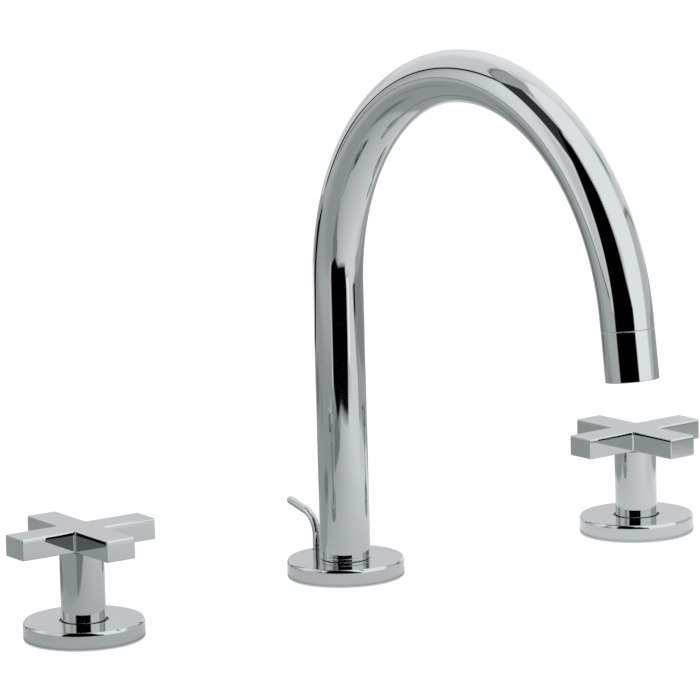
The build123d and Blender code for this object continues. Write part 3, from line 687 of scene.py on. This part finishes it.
# Turns the plain cylinders of the copy down and lays the threads on
def threadedMesh(node, threads):
    mesh = weldedCopy(node)
    for place, crest, low, high, pitch in threads:
        root = crest - thread["depth"] * pitch - thread["clearance"]
        mesh = cutAway(mesh, turnedMesh("turning", [
            (root, low, 0), (crest + 1 * mm, low, 0), (crest + 1 * mm, high, 0), (root, high, 0),
        ], place, thread["segments"]))
    bm = bmesh.new()
    bm.from_mesh(mesh)
    bmesh.ops.remove_doubles(bm, verts=bm.verts, dist=thread["weld"])
    for place, *sizes in threads:
        addThread(bm, place, *sizes)
    return finishMesh(bm, node, sharpAngle=32)


# A branch that leaves the axis sideways, at an angle seen from above
def branch(x, y, z, angle):
    away = Vector((math.cos(angle), math.sin(angle), 0))
    return upright(x, y, z) @ away.to_track_quat("Z", "Y").to_matrix().to_4x4()


ports = {
    "valveLevel": -77.0 * mm,
    "valveTurn": math.radians(15),
    "teeLevel": -83.0 * mm,
    "teeTurn": math.radians(10),
}
for side in sides:
    node = f"{side}_valve_body"
    centre = boxCentre(f"{side}_escutcheon")
    axis = upright(centre.x, centre.y)
    inward = ports["valveTurn"] if side == "hot" else math.pi - ports["valveTurn"]
    outlet = branch(centre.x, centre.y, ports["valveLevel"], inward)
    mesh = threadedMesh(node, [(axis, *thread["shank"]), (axis, *thread["inlet"]),
                               (outlet, *thread["outlet"])])
    addPiece(f"{side}ValveBody", mesh, "brass", "root", node)
mesh = threadedMesh("spout_shank", [(upright(0, 0), *thread["shank"])])
addPiece("spoutShank", mesh, "brass", "root", "spout_shank")
tees = [branch(0, 0, ports["teeLevel"], a) for a in (-ports["teeTurn"], math.pi + ports["teeTurn"])]
mesh = threadedMesh("spout_tee", [(place, *thread["outlet"]) for place in tees])
addPiece("spoutTee", mesh, "brass", "root", "spout_tee")
print("threads cut")


# Deck hardware, alike at the three stations
deckHardware = {
    "bore": 14.05 * mm,
    "washerBore": 14.1 * mm,
    "nut": (18.5 * mm, -45.0 * mm, -35.0 * mm),  # half across flats, bottom, top
    "nutFace": 17.7 * mm,  # radius of the round face left by the chamfer
    "segments": 96,
    "chamfer": math.radians(30),
    "boreChamfer": 0.7 * mm,
    "boreEdge": 0.2 * mm,  # of the washers
    "washers": {  # outer radius, bottom, top, edge rounding
        "steel_washers": (20.0 * mm, -35.0 * mm, -33.0 * mm, 0.35 * mm),
        "rubber_washers": (20.0 * mm, -33.0 * mm, -30.0 * mm, 0.9 * mm),
    },
}
stationPlaces = [boxCentre(f"{station}_escutcheon") for station in escutcheon["holes"]]
for node, (radius, bottom, top, edge) in deckHardware["washers"].items():
    bm = bmesh.new()
    bore, boreEdge = deckHardware["washerBore"], deckHardware["boreEdge"]
    loop = roundedLoop([(bore, bottom, boreEdge), (radius, bottom, edge),
                        (radius, top, edge), (bore, top, boreEdge)])
    for centre in stationPlaces:
        addTurned(bm, loop, upright(centre.x, centre.y), deckHardware["segments"])
    addPiece(node.replace("_w", "W"), finishMesh(bm, node), slotOf[node], "root", node)

# Chamfered nuts: the cone runs out on the flats in six arcs
halfAcross, bottom, top = deckHardware["nut"]
face, bore, cut = deckHardware["nutFace"], deckHardware["bore"], deckHardware["boreChamfer"]
angles = [2 * math.pi * i / deckHardware["segments"] for i in range(deckHardware["segments"])]
flats = [halfAcross / math.cos((a + math.pi / 6) % (math.pi / 3) - math.pi / 6) for a in angles]
falls = [(flat - face) * math.tan(deckHardware["chamfer"]) for flat in flats]
nutRings = [[(face, bottom)] * len(angles), [(flat, bottom + fall) for flat, fall in zip(flats, falls)],
            [(flat, top - fall) for flat, fall in zip(flats, falls)], [(face, top)] * len(angles)]
for radius, z in ((bore + cut, top), (bore, top - cut), (bore, bottom + cut), (bore + cut, bottom)):
    nutRings.append([(radius, z)] * len(angles))
bm = bmesh.new()
for centre in stationPlaces:
    bridgeRings(bm, [[bm.verts.new((centre.x + r * math.cos(a), centre.y + r * math.sin(a), z))
                      for a, (r, z) in zip(angles, ring)] for ring in nutRings], True)
mesh = finishMesh(bm, "mountingNuts", sharpAngle=25)
addPiece("mountingNuts", mesh, "brass", "root", "mounting_nuts")

# Knurled thumb screws of the lift rod's clamp
thumbScrew = {
    "level": -89.0 * mm,
    "shaft": 2.5 * mm,
    "head": (5.0 * mm, 6.1 * mm, 14.1 * mm),  # radius, start and end from the clamp's middle
    "knurl": 0.22 * mm,
    "ridges": 36,
    "chamfer": (0.5 * mm, 0.4 * mm),  # of the head, across and along
    "plainRim": 0.9 * mm,  # where the knurl starts
    # Each screw: how far back it sits, which way it points, start of its shaft
    "screws": ((23.5 * mm, 0, 2.05 * mm), (32.5 * mm, math.pi, 2.65 * mm)),
}
bm = bmesh.new()
shaft, rim = thumbScrew["shaft"], thumbScrew["plainRim"]
across, along = thumbScrew["chamfer"]
radius, headStart, headEnd = thumbScrew["head"]
grooved = radius - thumbScrew["knurl"]
dips = [0, thumbScrew["knurl"] / 2, thumbScrew["knurl"], thumbScrew["knurl"] / 2] * thumbScrew["ridges"]
for back, way, start in thumbScrew["screws"]:
    place = branch(0, back, thumbScrew["level"], way)
    rings = [ringOf(bm, place, [0], start)]
    for r, z in ((shaft - along, start), (shaft, start + along), (shaft, headStart),
                 (grooved - across, headStart), (grooved, headStart + along)):
        rings.append(ringOf(bm, place, [r] * len(dips), z))
    for z in (headStart + rim, headEnd - rim):
        rings.append(ringOf(bm, place, [radius - dip for dip in dips], z))
    for r, z in ((grooved, headEnd - along), (grooved - across, headEnd)):
        rings.append(ringOf(bm, place, [r] * len(dips), z))
    rings.append(ringOf(bm, place, [0], headEnd))
    bridgeRings(bm, rings, True)
mesh = finishMesh(bm, "thumbScrews", sharpAngle=30)
addPiece("thumbScrews", mesh, "brass", "root", "thumb_screws")
print("deck hardware made")


# Every CAD node that still shows gets its slot's finish
for name, node in frame["nodes"].items():
    node.data.materials.clear()
    node.data.materials.append(finishes[slotOf[name]])
print("finishes laid on", len(frame["nodes"]), "nodes")


# Floor, backdrop and cards of painted reflections
studio = {
    "centre": Vector((0, -0.02, 0.12)),
    "domeDistance": 2.4,
    "floorSize": 12.0,
    "floorColour": 0.30,
    "floorGlow": 0.84,
    "mirroredFloor": 0.53,  # where no shape lies
    "mirroredHeight": 0.0006,
    "contactHeight": 0.0009,
    "whiteLevel": 1.0,
    "diffuseLevel": 0.75,
    "darkLean": (0.07, 0.02),  # share of red and blue that the darkest tones lose
}


# Glow that only mirrors see, painted per vertex: brightness and how much of it covers what lies behind
def paintedMaterial():
    material = bpy.data.materials.new("paintedGlow")
    nodes, links, output = bareNodes(material, "ShaderNodeOutputMaterial")
    material.cycles.emission_sampling = "NONE"
    paint = nodes.new("ShaderNodeVertexColor")
    paint.layer_name = "paint"
    glow = nodes.new("ShaderNodeEmission")
    clear = nodes.new("ShaderNodeBsdfTransparent")
    mix = nodes.new("ShaderNodeMixShader")
    links.new(paint.outputs["Color"], glow.inputs["Color"])
    links.new(paint.outputs["Alpha"], mix.inputs["Fac"])
    links.new(clear.outputs["BSDF"], mix.inputs[1])
    links.new(glow.outputs["Emission"], mix.inputs[2])
    links.new(mix.outputs["Shader"], output.inputs["Surface"])
    return material


paintedGlow = paintedMaterial()


# How far points lie from a line
def nearTo(x, y, line):
    nearest = np.full(x.shape, 1e9)
    for (x0, y0), (x1, y1) in zip(line, line[1:]):
        runX, runY = x1 - x0, y1 - y0
        t = np.clip(((x - x0) * runX + (y - y0) * runY) / (runX ** 2 + runY ** 2), 0, 1)
        nearest = np.minimum(nearest, np.hypot(x - x0 - t * runX, y - y0 - t * runY))
    return nearest


# How far points lie inside a polygon, negative outside
def insideBy(x, y, outline):
    closed = outline + outline[:1]
    nearest = nearTo(x, y, closed)
    within = np.zeros(x.shape, bool)
    for (x0, y0), (x1, y1) in zip(closed, closed[1:]):
        if y0 != y1:
            within ^= ((y0 > y) != (y1 > y)) & (x < (x1 - x0) * (y - y0) / (y1 - y0) + x0)
    return np.where(within, nearest, -nearest)


def eased(value):
    t = np.clip(value, 0, 1)
    return t * t * (3 - 2 * t)


# Lays one shape over the painting: an area, a line or a round spot, each with a soft edge
def layOver(level, x, y, shape):
    soft = shape["soft"]
    if "area" in shape:
        cover = eased(0.5 + insideBy(x, y, shape["area"]) / soft)
    elif "line" in shape:
        cover = eased((shape["width"] / 2 + soft - nearTo(x, y, shape["line"])) / soft)
    else:
        (cx, cy), (rx, ry) = shape["spot"]
        cover = eased((1 - np.hypot((x - cx) / rx, (y - cy) / ry)) / soft)
    tone = shape["level"]
    if "slope" in shape:  # brightness that changes across the shape
        sx, sy = shape["slope"]
        tone = np.clip(tone + sx * x + sy * y, *shape["limits"])
    return level + (tone - level) * cover, cover


def asCard(name, mesh, levels, covers):
    paint = mesh.color_attributes.new(name="paint", type="FLOAT_COLOR", domain="POINT")
    values = np.ones((len(mesh.vertices), 4))
    values[:, :3] = np.asarray(levels)[:, None]
    for channel, lean in zip((0, 2), studio["darkLean"]):
        values[:, channel] *= 1 - lean + lean * eased(values[:, 1])
    values[:, 3] = covers
    paint.data.foreach_set("color", values.ravel())
    mesh.materials.append(paintedGlow)
    card = bpy.data.objects.new(name, mesh)
    bpy.context.scene.collection.objects.link(card)
    card.visible_camera = False
    card.visible_diffuse = False
    card.visible_shadow = False
    card.visible_transmission = False
    card.visible_volume_scatter = False


def gridMesh(name, points, columns, rows):
    mesh = bpy.data.meshes.new(name)
    faces = [(j * columns + i, j * columns + i + 1, (j + 1) * columns + i + 1, (j + 1) * columns + i)
             for j in range(rows - 1) for i in range(columns - 1)]
    mesh.from_pydata(points, [], faces)
    return mesh


# Part of a sphere round the faucet, by azimuth from the spout's side and by elevation, a point a degree
def domeCard(name, distance, azimuths, elevations):
    across = np.arange(azimuths[0], azimuths[1] + 1.0)
    rising = np.arange(elevations[0], elevations[1] + 1.0)
    az, el = np.meshgrid(across, rising)
    a, e = np.radians(az), np.radians(el)
    points = np.stack((np.sin(a) * np.cos(e), -np.cos(a) * np.cos(e), np.sin(e)), -1) * distance
    points += np.array(studio["centre"])
    mesh = gridMesh(name, points.reshape(-1, 3).tolist(), len(across), len(rising))
    return mesh, az.ravel(), el.ravel()


# Painted reflections of soft boxes, walls and dark gaps of the studio, which only mirrors see, in degrees.
# Later shapes lie over earlier ones
domeShapes = [
    # Wall behind the faucet: the whole, a brighter patch high up, then three stretches along its foot
    {"area": [(84, -9), (84, 68), (232, 68), (232, -9)], "level": 1.12, "soft": 6},
    {"area": [(102, 28), (102, 62), (167, 62), (167, 28)], "level": 1.28, "soft": 10},
    {"area": [(86, -9), (86, 12), (105, 12), (105, -9)], "level": 0.72, "soft": 5},
    {"area": [(108, -9), (108, 18), (133, 18), (133, -9)], "level": 1.27, "soft": 5},
    {"area": [(136, -9), (136, 15), (196, 15), (196, -9)], "level": 0.85, "soft": 5},
    # Its other end, a grey strip above, and the side wall, duller at both ends
    {"area": [(-180, -9), (-180, 64), (-156, 54), (-134, 43), (-150, 19), (-166, -9)],
     "level": 1.08, "soft": 1},
    {"area": [(-134, 43), (-127, 67), (-125, 78), (-186, 78), (-186, 64), (-156, 54)],
     "level": 0.62, "soft": 3},
    {"area": [(-160, -9), (-150, 19), (-134, 43), (-107, 40), (-78, 36), (-86, -9)],
     "level": 5.04, "slope": (0.029, 0.0), "limits": (0.55, 1.27), "soft": 1.5},
    {"area": [(-112, -9), (-112, 34), (-86, 34), (-86, -9)], "level": 0.97, "soft": 16},
    # Dark gap between these walls, its broad foot, and the edge under the grey strip
    {"line": [(-172, -9), (-162, 3), (-151.2, 19), (-141, 33), (-134, 42)], "width": 2.2,
     "level": 0.0, "soft": 2.2},
    {"spot": ((-165.5, -2), (7, 11)), "level": 0.0, "soft": 0.6},
    {"line": [(-134, 42), (-156, 54), (-184, 64)], "width": 0.6, "level": 0.3, "soft": 1.4},
    # Grey wedge beside the soft box, the soft box itself in front and overhead, and small marks
    {"area": [(50, -9), (55, 5), (60, 28), (82, 20), (100, 8), (112, -9)], "level": 0.82, "soft": 4},
    {"area": [(-14, -9), (45, -9), (48, 5), (58, 28), (70, 48), (90, 60), (125, 66), (184, 77),
              (184, 95), (-184, 95), (-184, 77), (-127, 76), (-85, 74), (-55, 66), (-30, 52), (-10, 25)],
     "level": 1.42, "soft": 3},
    {"spot": ((80, 38), (10, 9)), "level": 0.4, "soft": 0.8},
    {"line": [(61, 28), (82, 20), (98, 8)], "width": 0.6, "level": 0.3, "soft": 1.2},
    {"line": [(-156, -2.5), (-96, -2.5)], "width": 0.8, "level": 0.2, "soft": 1.0},
]
mesh, az, el = domeCard("paintedReflectionDome", studio["domeDistance"], (-180, 180), (-6, 90))
level = np.ones(az.shape)
for shape in domeShapes:
    for turn in (0, -360, 360):  # some shapes cross the back
        level, cover = layOver(level, az + turn, el, shape)
asCard("paintedReflectionDome", mesh, level, 1.0)

# Nearer dark gap and arm in front of the dome: painted dark reflections that only mirrors see
gapShapes = {
    "darkGap": {"area": [(-77, -8), (-77, 5), (-77.5, 17), (-78, 25), (-77.5, 32), (-75, 45), (-72, 62),
                         (-50, 60), (-28, 45), (-20, 30), (-15, 16), (-10, 11), (-6, 7), (-4.5, -8)],
                "level": 0.0, "soft": 3, "distance": 1.0},
    "darkArm": {"area": [(-130, 45), (-100, 42), (-72, 40.5), (-60, 66), (-122, 68)],
                "level": 0.055, "soft": 2, "distance": 1.05},
}
for name, shape in gapShapes.items():
    mesh, az, el = domeCard(name, shape["distance"], (-140, 0), (-10, 74))
    level, cover = layOver(np.zeros(az.shape), az, el, shape)
    asCard(name, mesh, np.full(az.shape, shape["level"]), cover)

# Painted reflection of the floor, which only mirrors see: a lit sheet in front, greyer floor round it,
# darkness beyond.
# Places are in metres, and later shapes lie over earlier ones
floorShapes = [
    # The floor round the sheet; the darker spots behind the faucet are painted shadow of it
    {"area": [(-3.0, -3.0), (-0.60, -3.0), (-0.60, 3.0), (-3.0, 3.0)], "level": 0.71, "soft": 0.3},
    {"spot": ((0.04, 0.27), (0.10, 0.12)), "level": 0.38, "soft": 0.6},
    {"spot": ((-0.19, 0.11), (0.06, 0.05)), "level": 0.3, "soft": 0.6},
    {"spot": ((-0.10, 0.46), (0.22, 0.12)), "level": 0.29, "soft": 0.7},
    {"spot": ((-0.29, 0.31), (0.10, 0.08)), "level": 0.43, "soft": 0.8},
    {"spot": ((0.68, -0.10), (0.28, 0.55)), "level": 0.42, "soft": 0.4},
    {"spot": ((0.26, 0.30), (0.14, 0.12)), "level": 0.85, "soft": 0.8},
    {"area": [(0.29, 0.10), (0.29, -0.30), (0.52, -0.30), (0.52, 0.10)], "level": 0.61, "soft": 0.05},
    {"line": [(-0.475, -0.155), (-0.705, -0.245), (-1.08, -0.43)], "width": 0.03,
     "level": 1.0, "soft": 0.015},
    # The lit sheet, with brighter and darker places on it
    {"area": [(-0.25, -0.33), (-0.236, -0.20), (-0.244, -0.10), (-0.252, -0.04), (-0.252, 0.03),
              (-0.235, 0.06), (-0.19, 0.07), (-0.04, 0.04), (0.03, 0.05), (0.08, 0.075), (0.15, 0.12),
              (0.302, 0.06), (0.302, -0.15), (0.293, -0.19), (0.293, -0.26), (0.38, -0.33),
              (0.415, -0.60), (0.34, -1.0), (0.06, -1.0), (-0.03, -0.38)],
     "level": 0.86, "slope": (1.0, -0.7), "limits": (0.6, 1.17), "soft": 0.015},
    {"spot": ((0.27, -0.15), (0.09, 0.11)), "level": 1.02, "soft": 0.7},
    {"area": [(-0.243, -0.07), (-0.262, -0.078), (-0.30, -0.10), (-0.345, -0.125), (-0.37, -0.20),
              (-0.31, -0.24), (-0.25, -0.245), (-0.236, -0.21), (-0.244, -0.15)],
     "level": 0.32, "soft": 0.012},
    {"spot": ((0.04, -0.50), (0.11, 0.09)), "level": 0.92, "soft": 0.8},
    # Darkness in front and behind, and what shines beside it
    {"area": [(-0.46, -0.18), (-0.31, -0.235), (-0.285, -0.30), (-0.262, -0.345), (-0.19, -0.375),
              (-0.035, -0.405), (-0.02, -0.47), (-0.005, -0.53), (0.012, -0.60), (0.03, -0.745),
              (0.04, -1.0), (-0.1, -1.25), (-0.6, -1.15), (-1.0, -0.7), (-1.05, -0.47)],
     "level": 0.0, "soft": 0.015},
    {"line": [(0.075, -0.58), (0.135, -0.73), (0.17, -0.95)], "width": 0.04,
     "level": 1.7, "soft": 0.02},
    {"area": [(-0.62, 1.10), (-0.50, 0.88), (-0.36, 0.74), (-0.10, 0.62), (0.06, 0.56), (0.12, 0.60),
              (-0.06, 0.74), (-0.22, 1.0), (-0.28, 1.45), (-0.6, 1.5)], "level": 0.0, "soft": 0.03},
    {"area": [(0.16, 0.60), (0.30, 0.64), (0.25, 0.90), (0.04, 1.0), (-0.08, 0.80)],
     "level": 1.2, "soft": 0.05},
    {"spot": ((0.40, 0.40), (0.09, 0.10)), "level": 1.5, "soft": 0.8},
    {"spot": ((0.50, -0.56), (0.09, 0.09)), "level": 0.0, "soft": 0.5},
]
# Finer rows of points near the faucet
places = np.concatenate((np.arange(-3.0, -1.1, 0.1),
                         np.arange(-1.1, 1.1, 0.0125),
                         np.arange(1.1, 3.01, 0.1)))
x, y = [grid.ravel() for grid in np.meshgrid(places, places)]
points = np.stack((x, y, np.full(x.shape, studio["mirroredHeight"])), -1)
level = np.full(x.shape, studio["mirroredFloor"])
for shape in floorShapes:
    level, cover = layOver(level, x, y, shape)
asCard("floorGlow", gridMesh("floorGlow", points.tolist(), len(places), len(places)), level, 1.0)

# Contact shade on the floor round each escutcheon
contactShade = {
    "rings": ((28.1 * mm, 1), (28.6 * mm, 0.6), (29.3 * mm, 0.25), (31.0 * mm, 0.1), (34.0 * mm, 0)),
    "level": 0.22,
    "segments": 96,
}
for station, centre in zip(escutcheon["holes"], stationPlaces):
    points, covers = [], []
    columns = contactShade["segments"] + 1
    for radius, cover in contactShade["rings"]:
        for i in range(columns):
            a = 2 * math.pi * i / contactShade["segments"]
            points.append((centre.x + radius * math.cos(a), centre.y + radius * math.sin(a),
                           studio["contactHeight"]))
        covers += [cover] * columns
    mesh = gridMesh(f"{station}Contact", points, columns, len(contactShade["rings"]))
    asCard(f"{station}Contact", mesh, np.full(len(points), contactShade["level"]), covers)
print("cards hung")

floorMesh = bpy.data.meshes.new("floor")
bm = bmesh.new()
bmesh.ops.create_grid(bm, x_segments=24, y_segments=24, size=studio["floorSize"] / 2)
bm.to_mesh(floorMesh)
bm.free()
floorPlane = bpy.data.objects.new("floor", floorMesh)
bpy.context.scene.collection.objects.link(floorPlane)


# One for rays from the camera, off mirrors and through glass, none for light that falls on things
def seenRays(nodes, links):
    rays = nodes.new("ShaderNodeLightPath")
    seen = rays.outputs["Is Camera Ray"]
    for kind in ("Is Glossy Ray", "Is Transmission Ray"):
        adding = nodes.new("ShaderNodeMath")
        adding.operation = "ADD"
        links.new(seen, adding.inputs[0])
        links.new(rays.outputs[kind], adding.inputs[1])
        seen = adding.outputs["Value"]
    return seen


# Pale floor: its own glow for the rays above, plus the light and shadow that fall on it
paleFloor = bpy.data.materials.new("paleFloor")
nodes, links, output = bareNodes(paleFloor, "ShaderNodeOutputMaterial")
plain = nodes.new("ShaderNodeBsdfDiffuse")
shade = studio["floorColour"]
plain.inputs["Color"].default_value = (shade, shade, shade, 1)
glow = nodes.new("ShaderNodeEmission")
level = nodes.new("ShaderNodeMath")
level.operation = "MULTIPLY"
level.inputs[1].default_value = studio["floorGlow"]
both = nodes.new("ShaderNodeAddShader")
links.new(seenRays(nodes, links), level.inputs[0])
links.new(level.outputs["Value"], glow.inputs["Strength"])
links.new(plain.outputs["BSDF"], both.inputs[0])
links.new(glow.outputs["Emission"], both.inputs[1])
links.new(both.outputs["Shader"], output.inputs["Surface"])
floorPlane.data.materials.append(paleFloor)

# White backdrop for the same rays, softer light for the rest
world = bpy.data.worlds.new("studio")
bpy.context.scene.world = world
nodes, links, output = bareNodes(world, "ShaderNodeOutputWorld")
backdrop = nodes.new("ShaderNodeBackground")
strength = nodes.new("ShaderNodeMapRange")
strength.inputs["To Min"].default_value = studio["diffuseLevel"]
strength.inputs["To Max"].default_value = studio["whiteLevel"]
links.new(seenRays(nodes, links), strength.inputs["Value"])
links.new(strength.outputs["Result"], backdrop.inputs["Strength"])
links.new(backdrop.outputs["Background"], output.inputs["Surface"])
print("floor and backdrop laid")

# Soft lamps; mirrors see the cards in their place
lamps = {
    "keyLamp": {"place": (0.9, -1.2, 1.7), "size": 1.2, "power": 14},
    "fillLamp": {"place": (-1.4, -0.8, 1.2), "size": 1.4, "power": 5},
}
for name, lamp in lamps.items():
    light = bpy.data.lights.new(name, "AREA")
    light.shape = "SQUARE"
    light.size = lamp["size"]
    light.energy = lamp["power"]
    source = bpy.data.objects.new(name, light)
    source.location = lamp["place"]
    source.rotation_mode = "QUATERNION"
    source.rotation_quaternion = (Vector(lamp["place"]) - Vector((0, 0, 0.1))).to_track_quat("Z", "Y")
    source.visible_glossy = False
    source.visible_camera = False
    bpy.context.scene.collection.objects.link(source)
print("lamps set")


# Camera at the photograph's place; yaw, pitch and roll turn it a little off its target
view = {
    "target": Vector((0, 0, 0.1)),
    "distance": 2.517179,
    "azimuth": math.radians(-35.3965),
    "elevation": math.radians(11.0141),
    "yaw": math.radians(0.1094),
    "pitch": math.radians(0.2057),
    "roll": math.radians(-1.5728),
    "lens": 272.76,
}


def rightAndAbove(forward):
    right = forward.cross(Vector((0, 0, 1))).normalized()
    return right, right.cross(forward)


outward = Vector((math.sin(view["azimuth"]) * math.cos(view["elevation"]),
                  -math.cos(view["azimuth"]) * math.cos(view["elevation"]),
                  math.sin(view["elevation"])))
eye = view["target"] + outward * view["distance"]
forward = -outward
right, above = rightAndAbove(forward)
forward = (forward + math.tan(view["yaw"]) * right + math.tan(view["pitch"]) * above).normalized()
right, above = rightAndAbove(forward)
c, s = math.cos(view["roll"]), math.sin(view["roll"])
rolledRight = c * right + s * above
rolledAbove = -s * right + c * above
lens = bpy.data.cameras.new("photoCamera")
lens.lens = view["lens"]
lens.sensor_width = 36
lens.clip_start = 0.05
lens.clip_end = 50
camera = bpy.data.objects.new("photoCamera", lens)
turn = Matrix((rolledRight, rolledAbove, -forward)).transposed().to_4x4()
camera.matrix_world = Matrix.Translation(eye) @ turn
bpy.context.scene.collection.objects.link(camera)
bpy.context.scene.camera = camera
bpy.context.scene.view_settings.view_transform = "Standard"
print("camera placed")

bpy.context.view_layer.update()
